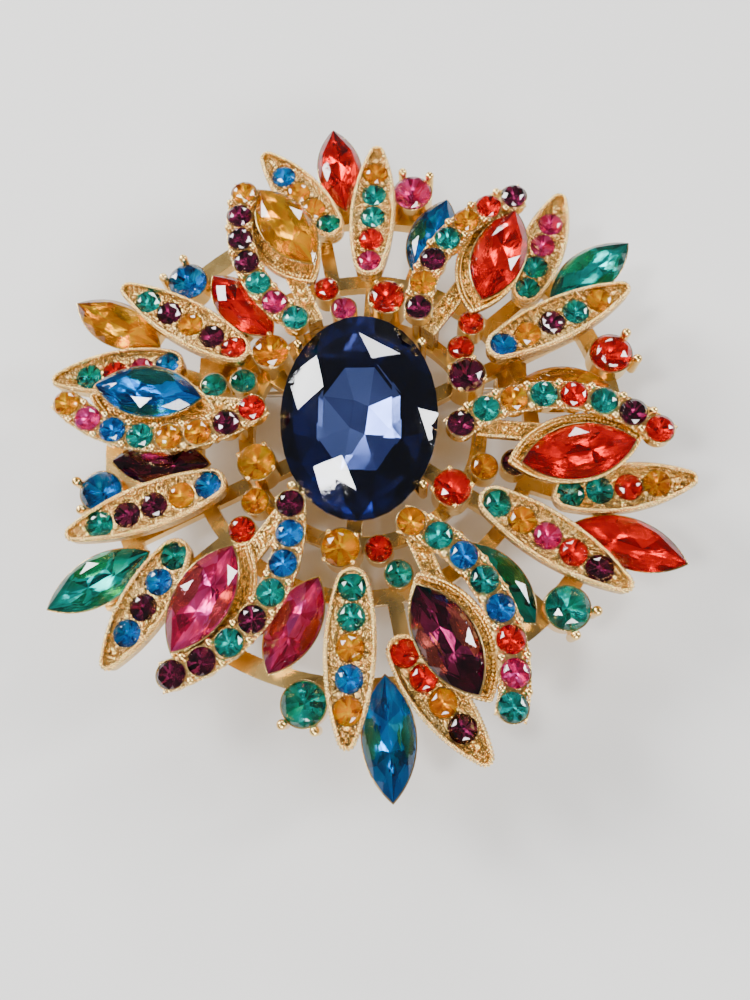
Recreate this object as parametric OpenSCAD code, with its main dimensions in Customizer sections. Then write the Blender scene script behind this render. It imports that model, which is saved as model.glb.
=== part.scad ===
// Jewelled dress brooch. Units are millimetres. +Z is up: the brooch lies on its pin, stones up.
// The metalwork repeats six times around Z. Sector 0 is at the top (+Y) and the count runs clockwise.

/* [Overall] */
// width across the tips of the outer navettes, which scales the whole plan
brooch_d = 83; // [69:1:99]
// clear height between the pin stem and the back frame, for cloth
cloth_gap = 4.7; // [4:0.1:8]
// height of the highest cups above the back frame
top_tier = 6.3; // [5.8:0.1:8]

/* [Oval stone] */
// girdle width of the oval
oval_w = 18; // [15:0.5:20]
// girdle length of the oval
oval_l = 25; // [21:0.5:27]
// girdle height of the oval above the frame
oval_tier = 5.0; // [4:0.1:7]

/* [Round stones] */
// girdle diameter of the small round stones
small_d = 3.0; // [2.5:0.1:3.6]
// girdle diameter of the round stones beside the oval
inner_d = 4.2; // [3.5:0.1:5]
// girdle diameter of the outermost round stones
outer_d = 4.8; // [4:0.1:5.8]

/* [Navettes] */
// length of the upper and outer navettes, tip to tip
nav_l = 12.6; // [10.5:0.2:15]
// length of the lower navettes
nav_l_low = 11.6; // [9.6:0.2:14]
// width of the upper navettes
nav_w_top = 6.2; // [5:0.1:7.4]
// width of the outer and the lower navettes
nav_w_low = 5.6; // [4.6:0.1:6.8]

/* [Cups and leaves] */
// wall of a cup around its stone
wall = 0.35; // [0.25:0.05:0.5]
// gap between a stone and its seat
seat_gap = 0.02; // [0.01:0.01:0.05]
// how far a cup's rim shows beyond its stone
lip = 0.14; // [0.08:0.02:0.3]
// width of a leaf at its widest
leaf_w = 5.4; // [4.9:0.1:6.2]
// height of a leaf's raised rim above its floor
rim_h = 0.5; // [0.3:0.05:0.8]
// how far soldered pieces sink into each other
solder = 0.2; // [0.1:0.05:0.4]

/* [Back frame] */
// thickness of the openwork frame
frame_t = 1.4; // [1:0.1:2.4]
// width of the frame's rings and ribs
band = 1.8; // [1.4:0.1:2.6]

/* [Pin and catch] */
// diameter of the pin wire
pin_d = 1.0; // [0.8:0.05:1.3]
// diameter of the hinge rivet
rivet_d = 0.9; // [0.7:0.05:1.1]
// distance from the hinge to the catch
pin_span = 36.6; // [30:0.5:40]
// how far above the centre the pin lies
pin_y = 8; // [0:0.5:12]
// running gap of the pin's eye and the turning sleeve
run_gap = 0.05; // [0.02:0.01:0.09]

/* [Hidden] */
$fn = 72;
u = brooch_d / 83;
sectors = 6;
step = 360 / sectors;
hook_r = 1.9;
z_pin = hook_r;
frame_z = z_pin + pin_d / 2 + cloth_gap;
F = frame_z + frame_t;
small_r = small_d / 2;
cup_r = small_r + wall;
pitch = small_d + 0.2;
edge = 0.15;

// radii and angles of the families of pieces, for sector 0
hub_r = 8.8 * u;
ring_in = 14 * u;
ring_mid = 20.2 * u;
ring_out = 30 * u;

// The families follow, each with six places, one to a sector: the hand-laid pieces differ a little.
// long leaf: distance and angle of its middle stone, then the way it points
long_at = [[27.0, 87.3, 87], [25.4, 87.5, 86], [24.9, 85.7, 85.5], [26.0, 88.6, 89], [25.2, 84, 80.5], [24.1, 89, 89]];
long_tier = 4.0;
long_n = 5;
long_end = 10.2;

// short leaf: middle of its stones, then the way it points
short_at = [[21.7, 21.4, 70], [21.5, 20.3, 67], [22.2, 22.1, 68], [22.8, 20.2, 62], [20.0, 20.9, 68], [22.7, 21.6, 69]];
short_tier = 3.0;
short_n = 4;
short_end = 8.6;
short_off = 0.5;

// spray: an arc of small cups, moved a little in each sector
arc_c = [23.9, 12.2];
arc_r = 16.9 * u;
arc_end = 108;
arc_n = 8;
arc_step = 11.3;
arc_move = [[-0.2, -0.6], [0.1, -1.1], [1.1, 1.4], [0.1, 0.7], [-0.7, 0.1], [-0.6, -1.0]];
arc_first = [1, 0, 0, 0, 0, 1];
spray_h = 1.7;

// navettes: middle of the stone and the way it points
top_at = [[16.4, 19.6, 70], [16.5, 18.3, 71], [17.2, 20.8, 59], [16.1, 21.1, 63], [14.4, 19.6, 52], [16.5, 20, 63]];
rim_at = [[-3.2, 35.6, 99], [-3.0, 33.8, 98], [-2.3, 33.0, 99], [-3.4, 35.0, 94], [-1.4, 34.5, 91], [-3.4, 33.1, 91]];
rim_tier = 2.3;
low_at = [[8.6, 25.2, 69], [8.1, 22.2, 64], [8.6, 22.6, 71], [7.0, 23.4, 64], [7.8, 22.5, 58], [6.4, 21.0, 73]];
low_tier = 2.1;

// round stones
outer_at = [[32.3, 78.8], [30.7, 76], [31.2, 76.3], [32.2, 80], [31.1, 75], [29.4, 78.5]];
outer_tier = 2.4;
inner_at = [[16.0, 79], [13.5, 23], [13.4, -39], [15.3, -97], [12.8, -156], [13.8, 141]];
inner_tier = 4.0;
pair_a = [15.2 * u, 38.5];
pair_b = [18.4 * u, 44];
pair_tier = 2.6;

// colour numbers: 0 red, 1 amber, 2 emerald, 3 blue, 4 rose, 5 plum
rim_col = [0, 2, 0, 3, 2, 1];
top_col = [0, 0, 5, 4, 3, 1];
low_col = [3, 1, 2, 4, 5, 0];
outer_col = [4, 0, 2, 2, 3, 3];
inner_col = [0, 5, 0, 1, 1, 1];
long_col = [[4, 0, 2, 2, 1], [3, 1, 5, 2, 1], [2, 1, 4, 0, 5], [2, 2, 1, 3, 1], [3, 1, 5, 5, 2], [0, 5, 1, 5, 2]];
short_col = [[2, 2, 4, 4], [2, 2, 0, 1], [0, 0, 1, 5], [2, 3, 5, 3], [3, 4, 0, 2], [2, 1, 1, 3]];
spray_col = [
  [5, 5, 1, 5, 2, 1, 0, 5], [5, 2, 1, 2, 0, 2, 5, 0], [1, 2, 3, 2, 3, 0, 4, 2],
  [5, 3, 3, 2, 5, 2, 5, 5], [0, 5, 1, 1, 2, 3, 4, 1], [2, 2, 4, 2, 5, 5, 5, 1]];
pair_col = [[0, 0], [1, 5], [0, 2], [1, 0], [2, 2], [4, 0]];

paint = ["#c8141e", "#d98c14", "#0a7f5c", "#1467a8", "#c8467d", "#3a1428"];
gold = "#d9b36a";
steel = "#c9c6bd";

// ---- placing ----
module sector(s) { rotate([0, 0, -s * step]) children(); }
module polar(p, z) { rotate([0, 0, p[1]]) translate([p[0], 0, z]) children(); }
module lay(p, z) { translate([p[0] * u, p[1] * u, z]) rotate([0, 0, p[2]]) children(); }

// ---- stones: the girdle's top edge is at z = 0 ----
// round stone, or its seat when g is the seat's gap and up is how far the seat is open above
module round_cut(r, g = 0, up = 0) {
  top = up > 0 ? [[r + g, up], [0, up]] : [[r, 0], [r * 0.6, r * 0.36], [0, r * 0.36]];
  rotate_extrude() polygon(concat([[0, -r * 0.75 - g], [r * 0.08, -r * 0.75 - g], [r + g, -edge - g]], top));
}
// one side of a navette: a turned disc whose rim is the stone's curved side
module nav_side(l, w, g, up) {
  R = (l * l / 4 + w * w / 4) / w;
  k = w * 0.42;
  top = up > 0 ? [[R + g, up], [0, up]] : [[R, 0], [R - k * 0.62, w * 0.2], [0, w * 0.2]];
  translate([0, R - w / 2, 0]) rotate_extrude($fn = 96)
    polygon(concat([[0, -w * 0.3 - g], [R - k, -w * 0.3 - g], [R + g, -edge - g]], top));
}
module nav_cut(l, w, g = 0, up = 0) {
  intersection() {
    nav_side(l, w, g, up);
    rotate([0, 0, 180]) nav_side(l, w, g, up);
  }
}
// lens-shaped prism from z0 to z1
module lens(l, w, z0, z1, in = 0) {
  R = (l * l / 4 + w * w / 4) / w;
  intersection_for(m = [0, 180]) rotate([0, 0, m]) translate([0, R - w / 2, z0])
    cylinder(r1 = R - in, r2 = R, h = z1 - z0, $fn = 96);
}
// one level of the oval's cut facets: n corners, k of the girdle's size
module oval_level(n, k, z, turn = 0, g = 0) {
  translate([0, 0, z]) linear_extrude(0.01)
    polygon([for (i = [0:n - 1]) let (a = (i + turn) * 360 / n)
      [(oval_w / 2 * k + g) * cos(a), (oval_l / 2 * k + g) * sin(a)]]);
}
module oval_cut(g = 0) {
  hull() {
    oval_level(8, 0.3, -3.2 - g, 0.5);
    oval_level(16, 0.74, -1.9 - g, 0.5, g);
    oval_level(32, 1, -0.4 - g, 0, g);
    oval_level(32, 1, -0.01, 0, g);
    oval_level(16, 0.84, 1.45, 0.5);
    oval_level(8, 0.62, 2.3, 0.5);
  }
}

// ---- cups: the rim stands just below the stone's girdle ----
module cup_body(r, h) { translate([0, 0, -h]) cylinder(r = r + lip, h = h - 0.2); }
module cup(r, h) {
  difference() { cup_body(r, h); round_cut(r, seat_gap, 1); }
}
module nav_cup(l, w, h) {
  difference() {
    lens(l + 3 * lip, w + 2 * lip, -h, -0.2, 0.5);
    nav_cut(l, w, seat_gap, 1);
  }
}
module peg(top, r = 0.7) { translate([0, 0, F - solder]) cylinder(r = r, h = top - F + 2 * solder); }

// ---- leaves: along X, widest at x = 0, with a small round tip and a blunter heel ----
tip_r = 0.9;
heel_r = 1.75;
module leaf_plan(half, w, z0, z1, g = 0) {
  xt = half - tip_r;
  R = (xt * xt + w * w / 4 - tip_r * tip_r) / (w - 2 * tip_r);
  xh = sqrt(pow(R - heel_r, 2) - pow(R - w / 2, 2));
  ct = (R + g) * xt / (R - tip_r);
  ch = (R + g) * xh / (R - heel_r);
  intersection() {
    intersection_for(m = [-1, 1]) translate([0, m * (R - w / 2), z0]) cylinder(r = R + g, h = z1 - z0, $fn = 144);
    translate([-ch, -w, z0 - 1]) cube([ch + ct, 2 * w, z1 - z0 + 2]);
  }
  translate([xt, 0, z0]) cylinder(r = tip_r + g, h = z1 - z0);
  translate([-xh, 0, z0]) cylinder(r = heel_r + g, h = z1 - z0);
}
// n stones about x = -off
module trough(n, half, off = 0) {
  difference() {
    leaf_plan(half, leaf_w, -1.4, rim_h - 0.1);
    leaf_plan(half, leaf_w, -0.1, rim_h + 1, -wall);
    for (i = [0:n - 1]) translate([(i - (n - 1) / 2) * pitch - off, 0, 0]) round_cut(small_r, seat_gap, 1);
  }
}
module on_long(s, z) { p = long_at[s]; sector(s) polar([p[0] * u, p[1]], z) rotate([0, 0, p[2] - p[1]]) children(); }
module long_leaf(s) {
  on_long(s, F + long_tier) trough(long_n, long_end);
  for (r = [ring_mid, ring_out]) on_long(s, 0) translate([r - long_at[s][0] * u, 0, 0]) peg(F + long_tier - 1.4, 0.8);
}
module short_leaf(s) {
  sector(s) {
    lay(short_at[s], F + short_tier) translate([short_off, 0, 0]) {
      trough(short_n, short_end, short_off);
      translate([short_end - 2.1, 0, rim_h - 0.35]) sphere(r = 0.5);
    }
    polar([ring_out, 44.5], 0) peg(F + short_tier - 1.4, 0.8);
    polar([26.6 * u, 41], 0) peg(F + short_tier - 1.4, 0.8);
  }
}

// ---- sprays ----
function arc_at(i) = arc_end + (arc_n - 1 - i) * arc_step;
module on_arc(s, z) {
  sector(s) translate([(arc_c[0] + arc_move[s][0]) * u, (arc_c[1] + arc_move[s][1]) * u, z]) children();
}
module spray(s) {
  t = F + top_tier;
  k = arc_first[s];
  on_arc(s, t) {
    difference() {
      union() {
        rotate([0, 0, arc_end + 2]) rotate_extrude(angle = arc_step * (arc_n - 1 - k) - 4, $fn = 180)
          translate([arc_r - 1.2, -spray_h + 0.1]) square([2.4, spray_h * 0.75]);
        for (i = [k:arc_n - 1]) rotate([0, 0, arc_at(i)]) translate([arc_r, 0, 0]) cup_body(small_r, spray_h);
      }
      for (i = [k:arc_n - 1]) rotate([0, 0, arc_at(i)]) translate([arc_r, 0, 0]) round_cut(small_r, seat_gap, 1);
    }
    for (i = [k:arc_n - 2], m = [-1, 1]) rotate([0, 0, (arc_at(i) + arc_at(i + 1)) / 2])
      translate([arc_r + m * 1.3, 0, -0.1]) {
        sphere(r = 0.46);
        translate([0, 0, -0.9]) cylinder(r = 0.36, h = 0.9);
      }
  }
  for (p = spray_foot) sector(s) translate([(p[0] + arc_move[s][0] * 0.7) * u, p[1] * u, 0]) peg(t - spray_h, 0.65);
}
spray_foot = [[6.9, 12.6], [15.0, 26.3]];

// ---- groups, one sector at a time ----
branch_drop = 2.5;
module branch_leaf(s) {
  t = F + top_tier - branch_drop;
  p = top_at[s];
  polar([ring_out, 55], 0) peg(t, 0.6);
  lay([p[0] - 0.8, p[1] + 0.4, p[2]], 0) difference() {
    lens(nav_l + 2.4, nav_w_top + 1.6, t, t + 0.7);
    translate([0, 0, t + 0.4]) lens(nav_l + 1.2, nav_w_top + 0.9, 0, 1);
  }
  rotate([0, 0, 54]) translate([ring_in - 0.6, -0.9, t - 0.7]) cube([8 * u, 1.8, 1.1]);
  rotate([0, 0, 54]) translate([ring_in - 0.6, -0.9, F - solder]) cube([1.2, 1.8, t - F]);
}
module top_cup(s) { lay(top_at[s], F + top_tier) nav_cup(nav_l, nav_w_top, branch_drop - 0.3); }
module rim_cup(s) {
  lay(rim_at[s], F + rim_tier) nav_cup(nav_l, nav_w_low, 1.9);
  polar([35.5 * u - 4.5, 94.8], 0) peg(F + rim_tier - 1.9, 0.8);
  polar([35.5 * u - 0.5, 95.4], 0) peg(F + rim_tier - 1.9, 0.8);
}
module low_cup(s) {
  lay(low_at[s], F + low_tier) nav_cup(nav_l_low, nav_w_low, low_tier - 0.3);
  for (r = [22.5, 27]) polar([r * u, 73], 0) peg(F + 0.2, 0.7);
}
module on_outer(s, z) { polar([outer_at[s][0] * u, outer_at[s][1]], z) children(); }
module outer_collet(s) {
  r = outer_d / 2;
  on_outer(s, F + outer_tier) {
    cup(r, outer_tier + solder);
    for (m = [-36, 36]) rotate([0, 0, m]) translate([r + 0.6, 0, 0]) {
      translate([0, 0, -outer_tier]) cylinder(r = 0.52, h = outer_tier + 0.1);
      translate([0, 0, 0.3]) sphere(r = 0.56);
    }
  }
}
module inner_spot(s) { polar([inner_at[s][0] * u, inner_at[s][1]], F + inner_tier) children(); }
module twin() {
  for (p = [pair_a, pair_b]) polar(p, F + pair_tier) cup(small_r, pair_tier + solder);
}
// two beads on the stem of each branch
module beads() {
  for (r = [16.4, 17.8]) polar([r * u, 54], F + top_tier - branch_drop + 0.5) sphere(r = 0.5);
}

// ---- stones by colour ----
module navettes(c) {
  for (s = [0:sectors - 1]) sector(s) {
    if (rim_col[s] == c) lay(rim_at[s], F + rim_tier) nav_cut(nav_l, nav_w_low);
    if (top_col[s] == c) lay(top_at[s], F + top_tier) nav_cut(nav_l, nav_w_top);
    if (low_col[s] == c) lay(low_at[s], F + low_tier) nav_cut(nav_l_low, nav_w_low);
  }
}
module chatons(c) {
  for (s = [0:sectors - 1]) {
    if (outer_col[s] == c) sector(s) on_outer(s, F + outer_tier) round_cut(outer_d / 2);
    if (inner_col[s] == c) inner_spot(s) round_cut(inner_d / 2);
  }
}
module brilliants(c) {
  for (s = [0:sectors - 1]) {
    for (i = [0:long_n - 1]) if (long_col[s][i] == c) on_long(s, F + long_tier)
      translate([(i - (long_n - 1) / 2) * pitch, 0, 0]) round_cut(small_r);
    for (i = [0:short_n - 1]) if (short_col[s][i] == c) sector(s) lay(short_at[s], F + short_tier)
      translate([(i - (short_n - 1) / 2) * pitch, 0, 0]) round_cut(small_r);
    for (i = [arc_first[s]:arc_n - 1]) if (spray_col[s][i] == c) on_arc(s, F + top_tier)
      rotate([0, 0, arc_at(i)]) translate([arc_r, 0, 0]) round_cut(small_r);
    for (i = [0, 1]) if (pair_col[s][i] == c) sector(s) polar(i == 0 ? pair_a : pair_b, F + pair_tier)
      round_cut(small_r);
  }
}

// ---- back ----
module ring(r, w) {
  difference() { circle(r = r + w / 2, $fn = 144); circle(r = r - w / 2, $fn = 144); }
}
module back_frame() {
  color(gold) translate([0, 0, frame_z]) linear_extrude(frame_t) {
    difference() { circle(r = hub_r); circle(r = 3); }
    ring(ring_in, band);
    ring(ring_mid, band);
    ring(ring_out, band + 0.4);
    for (s = [0:sectors - 1]) sector(s) {
      rotate([0, 0, 86.5]) translate([hub_r - 1, -band / 2]) square([ring_out - hub_r + 1, band]);
      for (a = [41, 73]) rotate([0, 0, a]) translate([ring_mid, -band / 2]) square([ring_out - ring_mid, band]);
      rotate([0, 0, 95.5]) translate([ring_out - 0.5, -band / 2]) square([6.4 * u, band]);
    }
  }
}
module oval_setting() {
  color(gold) {
    translate([0, 0, F + oval_tier]) difference() {
      union() {
        translate([0, 0, -oval_tier - solder]) cylinder(r = oval_w / 2 - 1.6, h = oval_tier + solder - 0.9);
        for (m = [-1, 1]) translate([0, m * (oval_l / 2 - 6), -oval_tier - solder])
          cylinder(r = 4.6, h = oval_tier + solder - 0.9);
      }
      translate([0, 0, -oval_tier - 1]) cylinder(r = 2.4, h = oval_tier);
      oval_cut(seat_gap);
    }
    for (a = [50, 130, 230, 310]) {
      e = 1 / sqrt(pow(cos(a) / (oval_w / 2), 2) + pow(sin(a) / (oval_l / 2), 2));
      rotate([0, 0, a]) {
        translate([e + 0.6, 0, F + oval_tier - 3.3]) cylinder(r = 0.5, h = 3.8);
        translate([e + 0.6, 0, F + oval_tier + 0.55]) sphere(r = 0.56);
        translate([oval_w / 2 - 2.1, -0.5, F + oval_tier - 3.3]) cube([e - oval_w / 2 + 2.7, 1, 0.9]);
      }
    }
  }
}

ear_t = 0.8;
ear_gap = 1.5;
eye_r = 1.35;
module pin_base() {
  color(gold) translate([-pin_span / 2, pin_y, 0]) {
    translate([-2.4, -2.6, frame_z - 0.8]) cube([4.8, 5.2, 0.8 + solder]);
    for (m = [-1, 1]) translate([0, m * (ear_gap / 2 + ear_t / 2), 0]) difference() {
      union() {
        translate([0, ear_t / 2, z_pin]) rotate([90, 0, 0]) cylinder(r = hook_r, h = ear_t);
        translate([-hook_r, -ear_t / 2, z_pin]) cube([2 * hook_r, ear_t, frame_z - z_pin - 0.4]);
      }
      translate([0, ear_t, z_pin]) rotate([90, 0, 0]) cylinder(r = rivet_d / 2, h = 2 * ear_t);
    }
  }
}
module hinge_rivet() {
  len = ear_gap + 2 * ear_t;
  color(gold) translate([-pin_span / 2, pin_y, z_pin]) rotate([90, 0, 0]) {
    translate([0, 0, -len / 2]) cylinder(r = rivet_d / 2, h = len);
    for (m = [0, 180]) rotate([m, 0, 0]) translate([0, 0, len / 2]) cylinder(r1 = 0.8, r2 = 0.5, h = 0.4);
  }
}
module pin_stem() {
  eye_w = ear_gap - 0.1;
  shank = pin_span - 8;
  root = 4.2;
  color(steel) translate([-pin_span / 2, pin_y, z_pin]) {
    difference() {
      union() {
        translate([0, eye_w / 2, 0]) rotate([90, 0, 0]) cylinder(r = eye_r, h = eye_w);
        rotate([0, 90, 0]) cylinder(r = pin_d / 2, h = shank);
        rotate([0, 90, 0]) cylinder(r = min(pin_d / 2 + 0.2, ear_gap / 2 - 0.05), h = root);
        translate([shank, 0, 0]) rotate([0, 90, 0]) cylinder(r1 = pin_d / 2, r2 = 0.08, h = pin_span - shank + 4);
      }
      translate([0, eye_w, 0]) rotate([90, 0, 0]) cylinder(r = rivet_d / 2 + run_gap, h = 2 * eye_w);
    }
  }
}
bush_r = 1.3;
bore_r = 0.7;
hook_len = 2.2;
module catch_body() {
  color(gold) translate([pin_span / 2, pin_y, 0]) {
    translate([-hook_len / 2 - 0.7, -2.2, frame_z - 0.8]) cube([hook_len + 1.4, 4.4, 0.8 + solder]);
    difference() {
      union() {
        translate([-hook_len / 2, 0, z_pin]) rotate([0, 90, 0]) cylinder(r = hook_r, h = hook_len);
        translate([-hook_len / 2, -1.2, z_pin + 1]) cube([hook_len, 2.4, frame_z - z_pin - 1.4]);
      }
      translate([-hook_len, 0, z_pin]) rotate([0, 90, 0]) cylinder(r = bush_r + run_gap, h = 2 * hook_len);
      translate([-hook_len, -bore_r, -1]) cube([2 * hook_len, 2 * bore_r, z_pin + 1]);
    }
  }
}
module catch_sleeve() {
  color(gold) translate([pin_span / 2, pin_y, z_pin]) difference() {
    union() {
      translate([-hook_len / 2 - 0.5, 0, 0]) rotate([0, 90, 0]) cylinder(r = bush_r, h = hook_len + 1.7);
      translate([hook_len / 2 + run_gap, 0, 0]) rotate([0, 90, 0]) cylinder(r = bush_r + 0.4, h = 1.1);
      translate([-hook_len / 2 - 0.5, 0, 0]) rotate([0, 90, 0]) cylinder(r = bush_r + 0.3, h = 0.5 - run_gap);
      translate([hook_len / 2 + run_gap + 0.1, 0.6, -0.45]) cube([0.9, 2.3, 0.9]);
      translate([hook_len / 2 + run_gap + 0.55, 2.9, 0]) sphere(r = 0.62);
    }
    translate([-hook_len, 0, 0]) rotate([0, 90, 0]) cylinder(r = bore_r, h = 3 * hook_len);
    translate([-hook_len, -bore_r, -3]) cube([3 * hook_len, 2 * bore_r, 3]);
  }
}

back_frame();
oval_setting();
color("#101a3c") translate([0, 0, F + oval_tier]) oval_cut();  // oval_stone
for (s = [0:sectors - 1]) {
  color(gold) long_leaf(s);
  color(gold) short_leaf(s);
  color(gold) spray(s);
}
color(gold) for (s = [0:sectors - 1]) sector(s) branch_leaf(s);  // branch_leaves
color(gold) for (s = [0:sectors - 1]) sector(s) top_cup(s);  // upper_navette_cups
color(gold) for (s = [0:sectors - 1]) sector(s) rim_cup(s);  // outer_navette_cups
color(gold) for (s = [0:sectors - 1]) sector(s) low_cup(s);  // lower_navette_cups
color(gold) for (s = [0:sectors - 1]) sector(s) outer_collet(s);  // outer_collets
color(gold)  // inner_collets
  for (s = [0:sectors - 1]) inner_spot(s) cup(inner_d / 2, inner_tier + solder);
color(gold) for (s = [0:sectors - 1]) sector(s) twin();  // twin_collets
color(gold) for (s = [0:sectors - 1]) sector(s) beads();  // gap_beads
hues = ["red", "amber", "emerald", "blue", "rose", "plum"];
for (c = [0:len(hues) - 1]) {
  color(paint[c]) navettes(c);
  color(paint[c]) chatons(c);
  color(paint[c]) brilliants(c);
}
pin_base();
hinge_rivet();
pin_stem();
catch_body();
catch_sleeve();
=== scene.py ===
import math

import bmesh
import bpy
import numpy as np
from mathutils import Matrix, Vector


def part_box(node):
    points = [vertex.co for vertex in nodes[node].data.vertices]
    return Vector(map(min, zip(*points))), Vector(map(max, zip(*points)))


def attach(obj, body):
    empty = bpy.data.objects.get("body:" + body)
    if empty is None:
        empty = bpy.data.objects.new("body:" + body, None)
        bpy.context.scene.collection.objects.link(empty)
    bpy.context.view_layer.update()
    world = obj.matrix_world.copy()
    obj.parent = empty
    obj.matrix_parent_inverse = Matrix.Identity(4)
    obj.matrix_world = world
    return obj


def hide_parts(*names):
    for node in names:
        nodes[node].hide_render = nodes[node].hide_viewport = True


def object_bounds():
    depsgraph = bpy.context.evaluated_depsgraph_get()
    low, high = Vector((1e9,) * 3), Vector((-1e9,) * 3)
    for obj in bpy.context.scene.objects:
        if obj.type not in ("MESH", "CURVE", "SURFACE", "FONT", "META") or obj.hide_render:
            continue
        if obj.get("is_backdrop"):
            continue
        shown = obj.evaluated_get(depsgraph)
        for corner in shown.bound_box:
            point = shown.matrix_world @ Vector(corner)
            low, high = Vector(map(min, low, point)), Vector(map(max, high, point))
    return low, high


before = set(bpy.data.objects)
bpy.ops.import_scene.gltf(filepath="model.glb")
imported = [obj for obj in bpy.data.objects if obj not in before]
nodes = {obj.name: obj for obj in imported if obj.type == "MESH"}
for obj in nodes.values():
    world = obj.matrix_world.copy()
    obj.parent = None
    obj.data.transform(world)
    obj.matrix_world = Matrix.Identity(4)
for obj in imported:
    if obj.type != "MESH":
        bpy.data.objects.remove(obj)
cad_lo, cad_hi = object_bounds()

MM = 0.001
rng = np.random.default_rng(7)

# ------------------------------------------------------------------ sizes (mm), most of them the part's
SECTORS = 6
STEP = 360 / SECTORS
FRAME_TOP = 8.5
PITCH, SMALL_R, WALL, LEAF_W = 3.2, 1.5, 0.35, 5.4
TIP_R, HEEL_R = 0.9, 1.75
LONG_Z, LONG_END, LONG_OFF = FRAME_TOP + 4.0, 10.2, 0.0
SHORT_Z, SHORT_END, SHORT_OFF = FRAME_TOP + 3.0, 8.6, 0.5
ARC_R, ARC_END, ARC_STEP, ARC_LAP = 16.9, 108, 11.3, 4  # the lap: rope past the end cups, in degrees
TOP_Z, NAV_L, NAV_W = FRAME_TOP + 6.3, 12.6, 6.2
PLATE_Z, PLATE_SHIFT = TOP_Z - 1.8, Vector((-0.8, 0.4, 0))
STEM_ANGLE, STEM_Z, STEM_IN, STEM_OUT, STEM_HALF = 54, FRAME_TOP + 4.18, 13.5, 21.2, 0.85  # grain on a stem
INNER_R, INNER_Z = 2.1, FRAME_TOP + 4.0
CROWN, NAV_CROWN = 0.36, 0.2  # crown heights: share of a round's radius, of a navette's width
OVAL_W, OVAL_L, OVAL_CROWN = 17.96, 24.96, 2.3  # a hair inside the CAD stone


def turn(deg):
    return Matrix.Rotation(math.radians(deg), 4, "Z")


def sector(s):
    return turn(-STEP * s)


def move(x, y, z=0.0):
    return Matrix.Translation((x, y, z))


# ------------------------------------------------------------------ mesh helpers (mm in, metres out)
class Build:
    """Collects transformed pieces of mesh, then makes one object."""

    def __init__(self):
        self.v, self.f, self.m, self.tone, self.cut, self.n = [], [], [], [], [], 0

    def add(self, verts, faces, mat=None, slots=0, tone=0.5, cut=None):
        v = np.asarray(verts, float)
        self.cut.append(v * 0 if cut is None else np.asarray(cut, float))
        if mat is not None:
            a = np.array(mat)
            v = v @ a[:3, :3].T + a[:3, 3]
        self.v.append(v)
        self.f += [tuple(i + self.n for i in f) for f in faces]
        self.m += list(slots) if hasattr(slots, "__len__") else [slots] * len(faces)
        self.tone += list(tone) if hasattr(tone, "__len__") else [tone] * len(faces)
        self.n += len(v)

    def make(self, name, mats, smooth=False, slot="gold_plate", replaces=None, body="brooch"):
        me = bpy.data.meshes.new(name)
        v = np.clip(np.concatenate(self.v) * MM, cad_lo, cad_hi)
        me.from_pydata(v.tolist(), [], self.f)
        me.polygons.foreach_set("material_index", self.m)
        me.polygons.foreach_set("use_smooth", [smooth] * len(self.f))
        t = me.attributes.new("tone", "FLOAT", "FACE")
        t.data.foreach_set("value", self.tone)
        c = me.attributes.new("cut", "FLOAT_VECTOR", "POINT")
        c.data.foreach_set("vector", np.concatenate(self.cut).ravel())
        me.update()
        o = bpy.data.objects.new(name, me)
        for m in mats:
            me.materials.append(m)
        bpy.context.scene.collection.objects.link(o)
        if replaces:
            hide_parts(replaces)
        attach(o, body)
        return o


def hull(points, split=-0.04):
    """Facets of the convex hull of the points: (verts, faces, slots), slot 0 above split, 1 below."""
    bm = bmesh.new()
    for p in points:
        bm.verts.new(p)
    bmesh.ops.convex_hull(bm, input=bm.verts)
    bmesh.ops.dissolve_limit(bm, angle_limit=math.radians(1.0), verts=bm.verts, edges=bm.edges)
    bmesh.ops.delete(bm, geom=[v for v in bm.verts if not v.link_faces], context="VERTS")
    bmesh.ops.recalc_face_normals(bm, faces=bm.faces)
    bm.verts.index_update()
    v = [tuple(x.co) for x in bm.verts]
    f = [tuple(x.index for x in g.verts) for g in bm.faces]
    s = [0 if g.calc_center_median().z > split else 1 for g in bm.faces]
    bm.free()
    return v, f, s


def ball(sub):
    bm = bmesh.new()
    bmesh.ops.create_icosphere(bm, subdivisions=sub, radius=1)
    v = np.array([x.co[:] for x in bm.verts])
    f = [tuple(x.index for x in g.verts) for g in bm.faces]
    bm.free()
    return v, f


GRIT, BEAD = ball(1), ball(2)


def points(name):
    """Points of a CAD node, in mm."""
    me = nodes[name].data
    co = np.empty(len(me.vertices) * 3)
    me.vertices.foreach_get("co", co)
    return co.reshape(-1, 3) / MM


def islands(name):
    """Points of each separate solid of a CAD node, in mm."""
    me = nodes[name].data
    co = points(name)
    _, first, weld = np.unique(np.round(co, 4), axis=0, return_index=True, return_inverse=True)
    weld = weld.ravel()
    parent = list(range(len(first)))

    def root(i):
        while parent[i] != i:
            parent[i] = parent[parent[i]]
            i = parent[i]
        return i

    ed = np.empty(len(me.edges) * 2, int)
    me.edges.foreach_get("vertices", ed)
    for a, b in weld[ed.reshape(-1, 2)]:
        a, b = root(a), root(b)
        if a != b:
            parent[a] = b
    roots = np.array([root(i) for i in range(len(first))])
    pts = co[first]
    out = [pts[roots == r] for r in sorted(set(roots.tolist()))]
    return sorted(out, key=lambda p: (round(p[:, 0].mean(), 3), round(p[:, 1].mean(), 3)))


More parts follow.
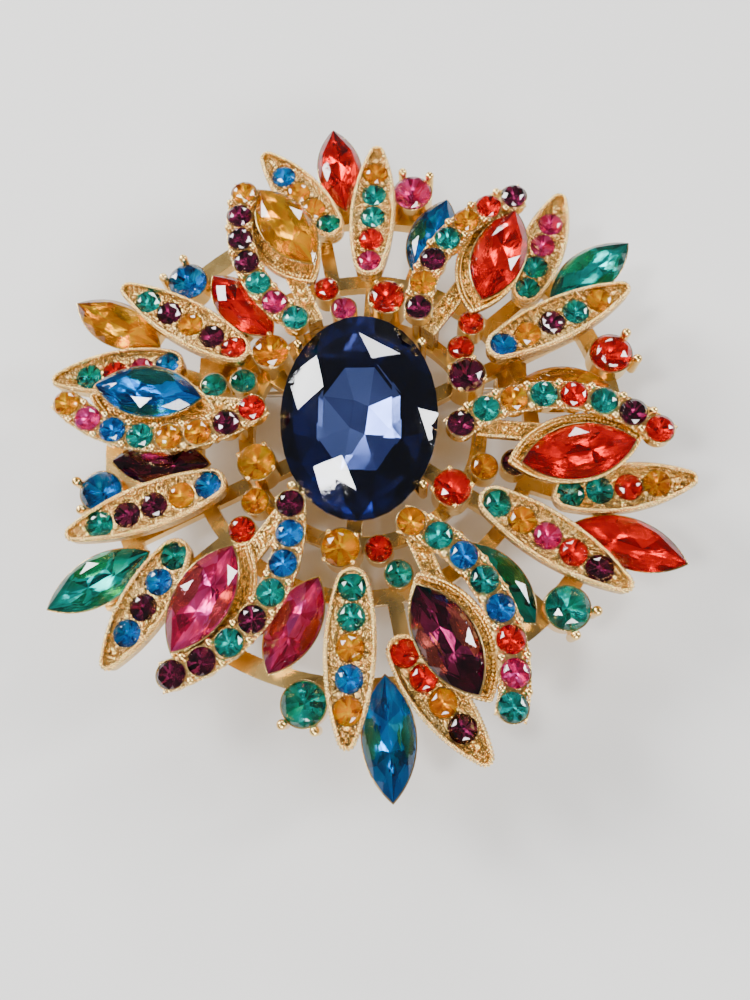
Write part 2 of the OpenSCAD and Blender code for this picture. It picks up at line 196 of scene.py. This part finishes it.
def long_axis(p):
    """Middle, half vector and half width of a lens-shaped solid, seen from above."""
    q = p[:, :2]
    i, j = np.unravel_index(np.argmax(((q[:, None] - q[None]) ** 2).sum(2)), (len(q), len(q)))
    mid = (q[i] + q[j]) / 2
    far = q[i] - mid
    a = math.atan2(far[1], far[0])
    across = np.array((-math.sin(a), math.cos(a)))
    return mid, far, np.abs((q - mid) @ across).max()


def across_path(p, d):
    """Unit vectors to the side of a path and above it."""
    d /= np.linalg.norm(d, axis=1)[:, None]
    side = np.cross(d, (0, 0, 1.0))
    side /= np.maximum(np.linalg.norm(side, axis=1)[:, None], 1e-6)
    return side, np.cross(side, d)


def tube(b, path, radius, sides=8, mat=None, closed=False):
    """Round tube along path (mm)."""
    p = np.asarray(path, float)
    n = len(p)
    side, up = across_path(p, np.roll(p, -1, 0) - np.roll(p, 1, 0) if closed else np.gradient(p, axis=0))
    a = np.arange(sides) * 2 * math.pi / sides
    v = p[:, None] + radius * (side[:, None] * np.cos(a)[:, None] + up[:, None] * np.sin(a)[:, None])
    f = []
    for i in range(n if closed else n - 1):
        j = (i + 1) % n
        for k in range(sides):
            q = (k + 1) % sides
            f.append((i * sides + k, i * sides + q, j * sides + q, j * sides + k))
    if not closed:
        f += [tuple(range(sides))[::-1], tuple((n - 1) * sides + k for k in range(sides))]
    b.add(v.reshape(-1, 3), f, mat)


def rope(b, path, radius, mat=None, lay_len=0.9):
    """Two round strands twisted along path."""
    p = np.asarray(path, float)
    seg = np.linalg.norm(np.diff(p, axis=0), axis=1)
    s = np.concatenate([[0], np.cumsum(seg)])
    n = max(8, int(s[-1] / (lay_len / 7)))
    t = np.linspace(0, s[-1], n)
    q = np.stack([np.interp(t, s, p[:, i]) for i in range(3)], 1)
    side, up = across_path(q, np.gradient(q, axis=0))
    turns = round(s[-1] / lay_len)
    for start in (0, math.pi):
        a = t / s[-1] * turns * 2 * math.pi + start
        w = q + radius * 0.48 * (side * np.cos(a)[:, None] + up * np.sin(a)[:, None])
        tube(b, w, radius * 0.56, 6, mat)


# ------------------------------------------------------------------ cuts, unit sized
def ring(n, r, z, off=0.0, ry=None):
    """n points round a circle, or round an ellipse when ry is given."""
    ry = r if ry is None else ry
    turns = [(i + off) * 2 * math.pi / n for i in range(n)]
    return [(r * math.cos(a), ry * math.sin(a), z) for a in turns]


def brilliant():
    """Round chaton of radius 1, girdle top at z 0."""
    p = ring(8, 0.52, CROWN, 0.5) + ring(8, 0.80, 0.235) + ring(16, 1, 0) + ring(16, 0.995, -0.1)
    p += ring(16, 0.60, -0.36, 0.5) + ring(8, 0.26, -0.60) + [(0, 0, -0.75)]
    return hull(p, -0.12)


def vesica(n, l, w, k, z, off=0.0):
    """n points round a lens outline k times the size, points at both tips when off is 0."""
    R = (l * l / 4 + w * w / 4) / w
    out = []
    for i in range(n):
        t = ((i + off) / n) % 1.0
        side = 1 if t < 0.5 else -1
        u = 1 - 4 * (t if t < 0.5 else t - 0.5)
        a = u * math.asin(l / 2 / R)
        out.append((side * k * R * math.sin(a), side * k * (R * math.cos(a) - (R - w / 2)), z))
    return out


def navette(l, w):
    """Pointed lens-shaped stone l long and w wide, girdle top at z 0."""
    p = vesica(20, l, w, 1, 0) + vesica(20, l, w, 0.995, -0.14)
    p += vesica(10, l, w, 0.80, 0.125 * w, 0.5) + vesica(6, l, w, 0.50, NAV_CROWN * w)
    p += vesica(14, l, w, 0.66, -0.16 * w, 0.5) + vesica(8, l, w, 0.36, -0.25 * w)
    p += [(x * l, 0, -0.3 * w) for x in (-0.12, 0.12)]
    return hull(p, -0.16)


def oval(w, l):
    """Oval cut: eight-sided table, kites and girdle facets over a pavilion of broad facets."""
    p = ring(32, w / 2, 0, 0, l / 2) + ring(32, w / 2, -0.4, 0, l / 2)
    p += ring(8, 0.46 * w / 2, OVAL_CROWN, 0.5, 0.50 * l / 2) + ring(8, 0.75 * w / 2, 1.45, 0, 0.76 * l / 2)
    p += ring(16, 0.80 * w / 2, -1.35, 0.5, 0.80 * l / 2) + ring(8, 0.50 * w / 2, -2.45, 0.5, 0.52 * l / 2)
    p += ring(4, 0.14 * w / 2, -3.15, 0.35, 0.20 * l / 2)
    return hull(p, -0.5)


# ------------------------------------------------------------------ materials
def node_material(name):
    m = bpy.data.materials.new(name)
    m.use_nodes = True
    t = m.node_tree
    return m, t, t.nodes["Principled BSDF"]


def ramp(t, src, stops):
    r = t.nodes.new("ShaderNodeValToRGB")
    e = r.color_ramp.elements
    while len(e) < len(stops):
        e.new(0.5)
    for x, (pos, c) in zip(e, stops):
        x.position = pos
        x.color = (*c, 1) if len(c) == 3 else (c[0], c[0], c[0], 1)
    t.links.new(src, r.inputs["Fac"])
    return r.outputs["Color"]


def noise(t, vec, scale, detail=3.0, rough=0.5):
    n = t.nodes.new("ShaderNodeTexNoise")
    n.inputs["Scale"].default_value = scale
    n.inputs["Detail"].default_value = detail
    n.inputs["Roughness"].default_value = rough
    t.links.new(vec, n.inputs["Vector"])
    return n.outputs["Fac"]


def blend(t, fac, a, b):
    """Colour a to b by fac; a and b are colours or sockets."""
    m = t.nodes.new("ShaderNodeMix")
    m.data_type = "RGBA"
    for key, val in (("Factor", fac), ("A", a), ("B", b)):
        kinds = [s for s in m.inputs if s.name == key and s.type == "RGBA"]
        sock = m.inputs[key] if key == "Factor" else kinds[0]
        if hasattr(val, "links"):
            t.links.new(val, sock)
        else:
            sock.default_value = val if key == "Factor" else (*val, 1)
    return [s for s in m.outputs if s.type == "RGBA"][0]


# the third colour is the painted shade laid into the gaps between cast grains
YELLOW, DULL, GRAIN_GAP_SHADE, WORN = (0.97, 0.69, 0.27), (0.82, 0.51, 0.15), (0.20, 0.10, 0.02), (1.0, 0.80, 0.42)


def gold(name, light=YELLOW, mid=DULL, gap_shade=GRAIN_GAP_SHADE, grain=0.0, cell=2600.0, rough=0.2, edge=0.00012):
    """Gold plate: tarnish in patches, paler worn edges, cast grain of that height in metres, painted shade
    in its gaps.
    """
    m, t, b = node_material(name)
    b.inputs["Metallic"].default_value = 1.0
    co = t.nodes.new("ShaderNodeTexCoord").outputs["Object"]
    patch = noise(t, co, 240, 4)
    fine = noise(t, co, 2400, 3, 0.6)
    col = ramp(t, patch, [(0.32, mid), (0.66, light)])
    height = fine
    if grain:
        v = t.nodes.new("ShaderNodeTexVoronoi")
        v.inputs["Scale"].default_value = cell
        t.links.new(co, v.inputs["Vector"])
        # painted shade: the gaps between the cast grains are darkened towards the shade colour
        col = blend(t, ramp(t, v.outputs["Distance"], [(0.25, (0.0,)), (0.8, (0.85,))]), col, gap_shade)
        height = v.outputs["Distance"]
    bev = t.nodes.new("ShaderNodeBevel")
    bev.samples = 3
    bev.inputs["Radius"].default_value = edge
    geo = t.nodes.new("ShaderNodeNewGeometry")
    dot = t.nodes.new("ShaderNodeVectorMath")
    dot.operation = "DOT_PRODUCT"
    t.links.new(bev.outputs["Normal"], dot.inputs[0])
    t.links.new(geo.outputs["Normal"], dot.inputs[1])
    worn = ramp(t, dot.outputs["Value"], [(0.86, (1.0,)), (0.985, (0.0,))])
    col = blend(t, worn, col, WORN)
    t.links.new(col, b.inputs["Base Color"])
    r = t.nodes.new("ShaderNodeMapRange")
    r.inputs["To Min"].default_value = rough - 0.06
    r.inputs["To Max"].default_value = rough + 0.16
    t.links.new(patch, r.inputs["Value"])
    t.links.new(r.outputs["Result"], b.inputs["Roughness"])
    bump = t.nodes.new("ShaderNodeBump")
    bump.inputs["Distance"].default_value = grain or 0.00002
    bump.inputs["Strength"].default_value = 1.0 if grain else 0.5
    bump.invert = bool(grain)
    t.links.new(height, bump.inputs["Height"])
    t.links.new(bev.outputs["Normal"], bump.inputs["Normal"])
    t.links.new(bump.outputs["Normal"], b.inputs["Normal"])
    return m


def gem(name, tint, dark, mid, light, crackle=0.5):
    """Coloured glass: a clear tinted crown, and a foil pavilion that differs facet by facet."""
    m, t, b = node_material(name + "_glass_crown")
    b.inputs["Transmission Weight"].default_value = 1.0
    b.inputs["IOR"].default_value = 1.60
    co = t.nodes.new("ShaderNodeTexCoord").outputs["Object"]
    at = t.nodes.new("ShaderNodeAttribute")
    at.attribute_name = "tone"
    pale = [min(1, c * 1.08 + 0.02) for c in tint]
    col = ramp(t, at.outputs["Fac"], [(0.0, [c * 0.8 for c in tint]), (1.0, pale)])
    t.links.new(col, b.inputs["Base Color"])
    scuff = noise(t, co, 1500, 4, 0.7)
    t.links.new(ramp(t, scuff, [(0.45, (0.012,)), (0.75, (0.10,))]), b.inputs["Roughness"])
    bump = t.nodes.new("ShaderNodeBump")
    bump.inputs["Distance"].default_value = 0.000008
    bump.inputs["Strength"].default_value = 0.4
    t.links.new(noise(t, co, 900, 2), bump.inputs["Height"])
    t.links.new(bump.outputs["Normal"], b.inputs["Normal"])
    out = [m]
    m, t, b = node_material(name + "_glass_foil")
    b.inputs["Metallic"].default_value = 0.72
    cut = t.nodes.new("ShaderNodeAttribute")
    cut.attribute_name = "cut"
    at = t.nodes.new("ShaderNodeAttribute")
    at.attribute_name = "tone"
    streak = noise(t, cut.outputs["Vector"], 1.0, 3, 0.65)
    mixf = t.nodes.new("ShaderNodeMath")
    mixf.operation = "MULTIPLY_ADD"
    mixf.inputs[1].default_value = crackle
    t.links.new(streak, mixf.inputs[0])
    scaled = t.nodes.new("ShaderNodeMath")
    scaled.operation = "MULTIPLY_ADD"
    scaled.inputs[1].default_value = 1.0 - crackle * 0.6
    scaled.inputs[2].default_value = -crackle * 0.22
    t.links.new(at.outputs["Fac"], scaled.inputs[0])
    t.links.new(scaled.outputs["Value"], mixf.inputs[2])
    col = ramp(t, mixf.outputs["Value"], [(0.08, dark), (0.45, mid), (0.85, light)])
    t.links.new(col, b.inputs["Base Color"])
    t.links.new(ramp(t, streak, [(0.3, (0.06,)), (0.7, (0.20,))]), b.inputs["Roughness"])
    bump = t.nodes.new("ShaderNodeBump")
    bump.inputs["Distance"].default_value = 0.0002
    bump.inputs["Strength"].default_value = crackle
    t.links.new(streak, bump.inputs["Height"])
    t.links.new(bump.outputs["Normal"], b.inputs["Normal"])
    out.append(m)
    return out


GOLD = gold("gold_bright")
# CAST and GRAIN darken the gaps between their grains with painted shade
CAST = gold("gold_cast", grain=0.00010, cell=3000.0, rough=0.17, gap_shade=(0.30, 0.16, 0.04))
GRAIN = gold("gold_grain", grain=0.00012, cell=2700.0, rough=0.20, edge=0.00005)
BACK = gold("gold_back", (0.90, 0.62, 0.24), (0.76, 0.47, 0.14), rough=0.22)
WIRE = gold("pin_wire_steel", (0.82, 0.80, 0.76), (0.60, 0.58, 0.55), rough=0.24)
HUES = {
    "red": gem("red", (1.0, 0.015, 0.012), (0.16, 0.0, 0.0), (0.82, 0.004, 0.004), (1.0, 0.14, 0.05)),
    "amber": gem("amber", (1.0, 0.66, 0.02), (0.40, 0.13, 0.0), (1.0, 0.48, 0.0), (1.0, 0.85, 0.10)),
    "emerald": gem("emerald", (0.0, 0.54, 0.66), (0.0, 0.06, 0.05), (0.0, 0.46, 0.32), (0.10, 1.0, 0.80)),
    "blue": gem("blue", (0.0, 0.30, 0.92), (0.0, 0.08, 0.13), (0.0, 0.46, 0.62), (0.10, 0.95, 1.0)),
    "rose": gem("rose", (0.84, 0.14, 0.66), (0.22, 0.004, 0.05), (0.85, 0.07, 0.20), (1.0, 0.55, 0.62)),
    "plum": gem("plum", (0.36, 0.09, 0.20), (0.02, 0.003, 0.01), (0.17, 0.02, 0.08), (0.62, 0.12, 0.34)),
}
# the last colour is the pale grey-lavender painted reflection for the middle of the oval
NAVY = (0.40, 0.48, 0.80), (0.004, 0.006, 0.02), (0.02, 0.035, 0.17), (0.34, 0.42, 0.70)
SAPPHIRE = gem("sapphire", *NAVY, crackle=0.06)
shine = SAPPHIRE[0].node_tree.nodes["Principled BSDF"].inputs["Specular IOR Level"]
shine.default_value = 0.2

# ------------------------------------------------------------------ camera, light and floor
TILT, TURN, BACK_OFF = math.radians(16.7), math.radians(10.6), 86.3
aim = Vector((1.7, -9.0, 9.5))
ct, st, ca, sa = math.cos(TILT), math.sin(TILT), math.cos(TURN), math.sin(TURN)
across, up = Vector((ca, sa, 0)), Vector((-sa * ct, ca * ct, st))
back = Vector((st * sa, -st * ca, ct))
right, top = across * ca - up * sa, across * sa + up * ca
cam = bpy.data.objects.new("camera", bpy.data.cameras.new("camera"))
bpy.context.scene.collection.objects.link(cam)
m = Matrix((right, top, back)).transposed().to_4x4()
m.translation = (aim + back * BACK_OFF) * MM
cam.matrix_world = m
cam.data.sensor_width = 36
cam.data.lens = 27.04
cam.data.clip_start, cam.data.clip_end = 0.005, 5
bpy.context.scene.camera = cam

floor = bpy.data.objects.new("floor", bpy.data.meshes.new("floor"))
floor.data.from_pydata([(-2, -2, 0), (2, -2, 0), (2, 2, 0), (-2, 2, 0)], [], [(0, 1, 2, 3)])
bpy.context.scene.collection.objects.link(floor)
fm, ft, fb = node_material("floor_paper")
fb.inputs["Base Color"].default_value = (0.80, 0.79, 0.77, 1)
fb.inputs["Roughness"].default_value = 0.75
floor.data.materials.append(fm)
floor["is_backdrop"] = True


def softbox(name, loc, size, watts, target=(0, 0, 0.01)):
    l = bpy.data.lights.new(name, "AREA")
    l.shape, l.size, l.size_y, l.energy = "RECTANGLE", size[0], size[1], watts
    o = bpy.data.objects.new(name, l)
    o.location = loc
    o.rotation_mode = "QUATERNION"
    o.rotation_quaternion = (Vector(target) - Vector(loc)).to_track_quat("-Z", "Y")
    bpy.context.scene.collection.objects.link(o)


softbox("key", (-0.50, 0.34, 0.36), (0.20, 0.30), 7.5)
softbox("front", (0.12, -0.52, 0.34), (0.34, 0.12), 4.0)
softbox("side", (0.52, 0.16, 0.30), (0.10, 0.22), 3.2)
softbox("far", (0.05, 0.62, 0.30), (0.30, 0.08), 2.2)
softbox("top", (-0.30, -0.16, 0.55), (0.10, 0.10), 2.0)
w = bpy.data.worlds.new("studio")
w.use_nodes = True
w.node_tree.nodes["Background"].inputs["Color"].default_value = (0.84, 0.86, 0.90, 1)
w.node_tree.nodes["Background"].inputs["Strength"].default_value = 0.17
bpy.context.scene.world = w

# ------------------------------------------------------------------ stones
CUT = brilliant()


def set_stone(b, cut, m, stretch):
    """Adds a cut stone with its own facet tones and streaks."""
    v, f, s = cut
    tone = [rng.uniform(0.3, 0.7) if k == 0 else rng.uniform(0.0, 1.0) for k in s]
    b.add(v, f, m, s, tone, np.asarray(v) * stretch + rng.uniform(0, 50, 3))


def rounds(node, mats):
    b = Build()
    for p in islands(node):
        lo, hi = p.min(0), p.max(0)
        r = (hi[0] - lo[0]) / 2
        c = (lo + hi) / 2
        m = move(c[0], c[1], hi[2] - CROWN * r) @ turn(rng.uniform(0, 45)) @ Matrix.Scale(r * 0.995, 4)
        set_stone(b, CUT, m, (2.5, 2.5, 2.5))
    b.make(node + "_cut", mats, replaces=node)


def navettes(node, mats):
    b = Build()
    for p in islands(node):
        c, far, half_w = long_axis(p)
        l, w = 2 * np.linalg.norm(far), 2 * half_w
        m = move(c[0], c[1], p[:, 2].max() - NAV_CROWN * w) @ turn(math.degrees(math.atan2(far[1], far[0])))
        set_stone(b, navette(l * 0.998, w * 0.998), m, (0.22, 1.1, 1.1))
    b.make(node + "_cut", mats, replaces=node)


for hue, mats in HUES.items():
    rounds(hue + "_brilliants", mats)
    rounds(hue + "_chatons", mats)
    navettes(hue + "_navettes", mats)

b = Build()
hi = np.array(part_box("oval_stone")[1]) / MM
v, f, s = oval(OVAL_W, OVAL_L)
mid = [np.mean([v[i] for i in g], 0) for g in f]
tone = []
# painted reflection and shade: pavilion facets under the table are painted pale, the outer ones dark navy
for k, c in zip(s, mid):
    reach = math.hypot(c[0] / 9, c[1] / 12.5)
    painted_light_level = 0.95 if reach < 0.62 else 0.25
    tone.append(0.5 if k == 0 else float(np.clip(painted_light_level + rng.uniform(-0.5, 0.25), 0, 1)))
b.add(v, f, move(0, 0, hi[2] - OVAL_CROWN), s, tone, np.asarray(v) * 0.25)
b.make("oval_stone_cut", SAPPHIRE, replaces="oval_stone")


# ------------------------------------------------------------------ places, read from the frame
HOLDERS = [f"{kind}_{s + 1}" for kind in ("long_leaf", "short_leaf", "spray") for s in range(SECTORS)]


def seated():
    """Centres of the small stones in each leaf and spray: a stone belongs to the nearest holder."""
    shapes = {name: points(name) for name in HOLDERS + ["twin_collets"]}
    held = {name: [] for name in shapes}
    for hue in HUES:
        for p in islands(hue + "_brilliants"):
            c = (p.min(0) + p.max(0)) / 2
            near = min(shapes, key=lambda name: ((shapes[name] - c) ** 2).sum(1).min())
            held[near].append(c[:2])
    return {name: np.array(sorted(c, key=np.linalg.norm)) for name, c in held.items() if c}


HELD = seated()


def along_row(name, z):
    """Place of the middle of a straight row of stones, X pointing outwards."""
    c = HELD[name]
    mid, d = c.mean(0), c[-1] - c[0]
    return move(mid[0], mid[1], z) @ turn(math.degrees(math.atan2(d[1], d[0])))


def arc_middle(name):
    """Centre of the circle through the stones of a spray."""
    c = HELD[name]
    a = np.column_stack([2 * c, np.ones(len(c))])
    return np.linalg.lstsq(a, (c**2).sum(1), rcond=None)[0][:2]


def upper_places():
    """Middle and outward direction of each upper navette cup, in the order of the sectors."""
    out = {}
    for p in islands("upper_navette_cups"):
        c, far, _ = long_axis(p)
        far = far if far @ c > 0 else -far
        s = round((STEM_ANGLE - math.degrees(math.atan2(c[1], c[0]))) / STEP) % SECTORS
        out[s] = (c, math.degrees(math.atan2(far[1], far[0])))
    return [out[s] for s in range(SECTORS)]


# ------------------------------------------------------------------ metal
def leaf_outline(half, grow=0.0, gap=0.3):
    """Evenly spaced points round a leaf."""
    xt = half - TIP_R
    R = (xt * xt + LEAF_W**2 / 4 - TIP_R**2) / (LEAF_W - 2 * TIP_R)
    off = R - LEAF_W / 2
    xh = math.sqrt((R - HEEL_R) ** 2 - off**2)
    at, ah = math.atan2(off, xt), math.atan2(off, -xh)
    tip, heel = ((xt, 0), TIP_R, -at, at), ((-xh, 0), HEEL_R, ah, 2 * math.pi - ah)
    pts = []
    for c, r, a0, a1 in (tip, ((0, -off), R, at, ah), heel, ((0, off), R, -ah, -at)):
        k = max(2, int((r + grow) * (a1 - a0) / gap))
        for a in np.linspace(a0, a1, k, endpoint=False):
            pts.append((c[0] + (r + grow) * math.cos(a), c[1] + (r + grow) * math.sin(a)))
    return np.array(pts)


def lens_outline(l, w, gap):
    """Evenly spaced points round a lens l long and w wide."""
    R = (l * l / 4 + w * w / 4) / w
    a = math.asin(l / 2 / R)
    k = max(4, int(2 * R * a / gap))
    turns = np.linspace(a, -a, k, endpoint=False)
    one = [(R * math.sin(u), R * math.cos(u) - (R - w / 2)) for u in turns]
    return np.array(one + [(-x, -y) for x, y in one])


def inside(q, poly):
    """Which of the points q lie inside poly."""
    x, y = q[:, 0][:, None], q[:, 1][:, None]
    x0, y0 = poly[:, 0], poly[:, 1]
    x1, y1 = np.roll(x0, -1), np.roll(y0, -1)
    hit = ((y0 > y) != (y1 > y)) & (x < (x1 - x0) * (y - y0) / (y1 - y0 + 1e-12) + x0)
    return hit.sum(1) % 2 == 1


def sow(b, poly, holes, z, mat, gap=0.27, size=(0.10, 0.17)):
    """Sand-cast grains over the inside of poly, clear of the holes (x, y, r)."""
    lo, hi = poly.min(0), poly.max(0)
    row = gap * 0.87
    nx, ny = int((hi[0] - lo[0]) / gap) + 1, int((hi[1] - lo[1]) / row) + 1
    spots = [(i, j) for i in range(nx) for j in range(ny)]
    g = np.array([(lo[0] + (i + 0.5 * (j % 2)) * gap, lo[1] + j * row) for i, j in spots])
    g += rng.uniform(-0.3, 0.3, g.shape) * gap
    g = g[inside(g, poly)]
    for x, y, r in holes:
        g = g[np.hypot(g[:, 0] - x, g[:, 1] - y) > r]
    for x, y in g:
        r = rng.uniform(*size)
        at = move(x, y, z + rng.uniform(-0.05, 0.04)) @ turn(rng.uniform(0, 360))
        b.add(GRIT[0] * (r, r, r * 0.9), GRIT[1], mat @ at)


def bead(b, x, y, z, r, mat, shape=BEAD):
    b.add(shape[0] * r, shape[1], mat @ move(x, y, z))


rims, milgrain, ropes, grit, branch_grit, beads = [Build() for _ in range(6)]


def dress_leaf(name, z, half, off):
    """Rim, milgrain, cast floor and beads of one leaf; its outline's middle is off beyond the stones'."""
    m = along_row(name, z) @ move(off, 0)
    n = len(HELD[name])
    tube(rims, [(x, y, 0.36) for x, y in leaf_outline(half, -WALL / 2, 0.3)], 0.17, 8, m, closed=True)
    for x, y in leaf_outline(half, -WALL / 2, 0.36):
        bead(milgrain, x, y, 0.47, 0.2, m)
    for x, y in leaf_outline(half, 0.0, 0.37):
        bead(milgrain, x, y, 0.20, 0.19, m, GRIT)
    stones = [((i - (n - 1) / 2) * PITCH - off, 0, SMALL_R + 0.10) for i in range(n)]
    sow(grit, leaf_outline(half, -WALL - 0.08), stones, -0.08, m)
    for (x0, _, _), (x1, _, _) in zip(stones, stones[1:]):
        for k in (-1, 1):
            bead(beads, (x0 + x1) / 2, k * 0.98, 0.02, 0.27, m)
    for x in (stones[0][0] - 1.45, stones[-1][0] + 1.75):
        if x > -6.9:
            bead(beads, x, 0.0, 0.05, 0.3, m)


def dress_branch(s, middle, direction):
    """Rope, milgrain and cast floor round an upper navette, and the granular stem to the hub."""
    shift = turn(-STEP * s) @ PLATE_SHIFT
    m = move(middle[0] + shift[0], middle[1] + shift[1], PLATE_Z) @ turn(direction)
    p = lens_outline(NAV_L + 2.2, NAV_W + 1.4, 0.5)
    rope(ropes, [(x, y, 0.12) for x, y in np.vstack([p, p[:1]])], 0.27, m)
    for x, y in lens_outline(NAV_L + 1.0, NAV_W + 0.55, 0.42):
        bead(ropes, x, y, 0.12, 0.2, m)
    sow(branch_grit, lens_outline(NAV_L + 1.9, NAV_W + 1.1, 0.5), [], -0.22, m, 0.3)
    m = sector(s) @ turn(STEM_ANGLE)
    ends = [(STEM_IN, -1), (STEM_OUT, -1), (STEM_OUT, 1), (STEM_IN, 1)]
    sow(branch_grit, np.array([(x, k * STEM_HALF) for x, k in ends]), [], STEM_Z, m)
    for y in (-0.9, 0.9):
        rope(ropes, [(x, y, FRAME_TOP + 4.15) for x in np.linspace(13.4, 21.4, 20)], 0.2, m)


def dress_spray(s):
    """A thin rope down each side of the row of cups."""
    name = f"spray_{s + 1}"
    c = arc_middle(name)
    end = ARC_END + (len(HELD[name]) - 1) * ARC_STEP
    turns = [math.radians(a) for a in np.linspace(ARC_END - ARC_LAP, end + ARC_LAP, 60)]
    for r in (ARC_R - 1.5, ARC_R + 1.5):
        path = [(r * math.cos(a), r * math.sin(a), TOP_Z - 0.55) for a in turns]
        rope(ropes, path, 0.19, move(c[0], c[1]) @ sector(s))


for s in range(SECTORS):
    dress_leaf(f"long_leaf_{s + 1}", LONG_Z, LONG_END, LONG_OFF)
    dress_leaf(f"short_leaf_{s + 1}", SHORT_Z, SHORT_END, SHORT_OFF)
for s, (middle, direction) in enumerate(upper_places()):
    dress_branch(s, middle, direction)
for s in range(SECTORS):
    dress_spray(s)

# claws of small beads round the stones beside the oval
for p in islands("inner_collets"):
    c = (p.min(0) + p.max(0)) / 2
    for k in (45, 135, 225, 315):
        m = move(c[0], c[1]) @ turn(math.degrees(math.atan2(c[1], c[0])) + k)
        bead(beads, INNER_R + 0.1, 0, INNER_Z + 0.02, 0.33, m)

rims.make("leaf_rims", [GOLD], True)
milgrain.make("leaf_milgrain", [GOLD], True)
ropes.make("rope_wires", [GOLD], True)
grit.make("leaf_grain", [GRAIN], True)
branch_grit.make("branch_grain", [GRAIN], True)
beads.make("setting_beads", [GOLD], True)

# ------------------------------------------------------------------ materials of the CAD nodes
for name, ob in nodes.items():
    if name == "pin_stem":
        mat = WIRE
    elif name.startswith(("long_leaf", "short_leaf", "branch")):
        mat = CAST
    elif name in ("back_frame", "pin_base", "catch_body", "catch_sleeve"):
        mat = BACK
    else:
        mat = GOLD
    ob.data.materials.clear()
    ob.data.materials.append(mat)

lo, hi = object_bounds()
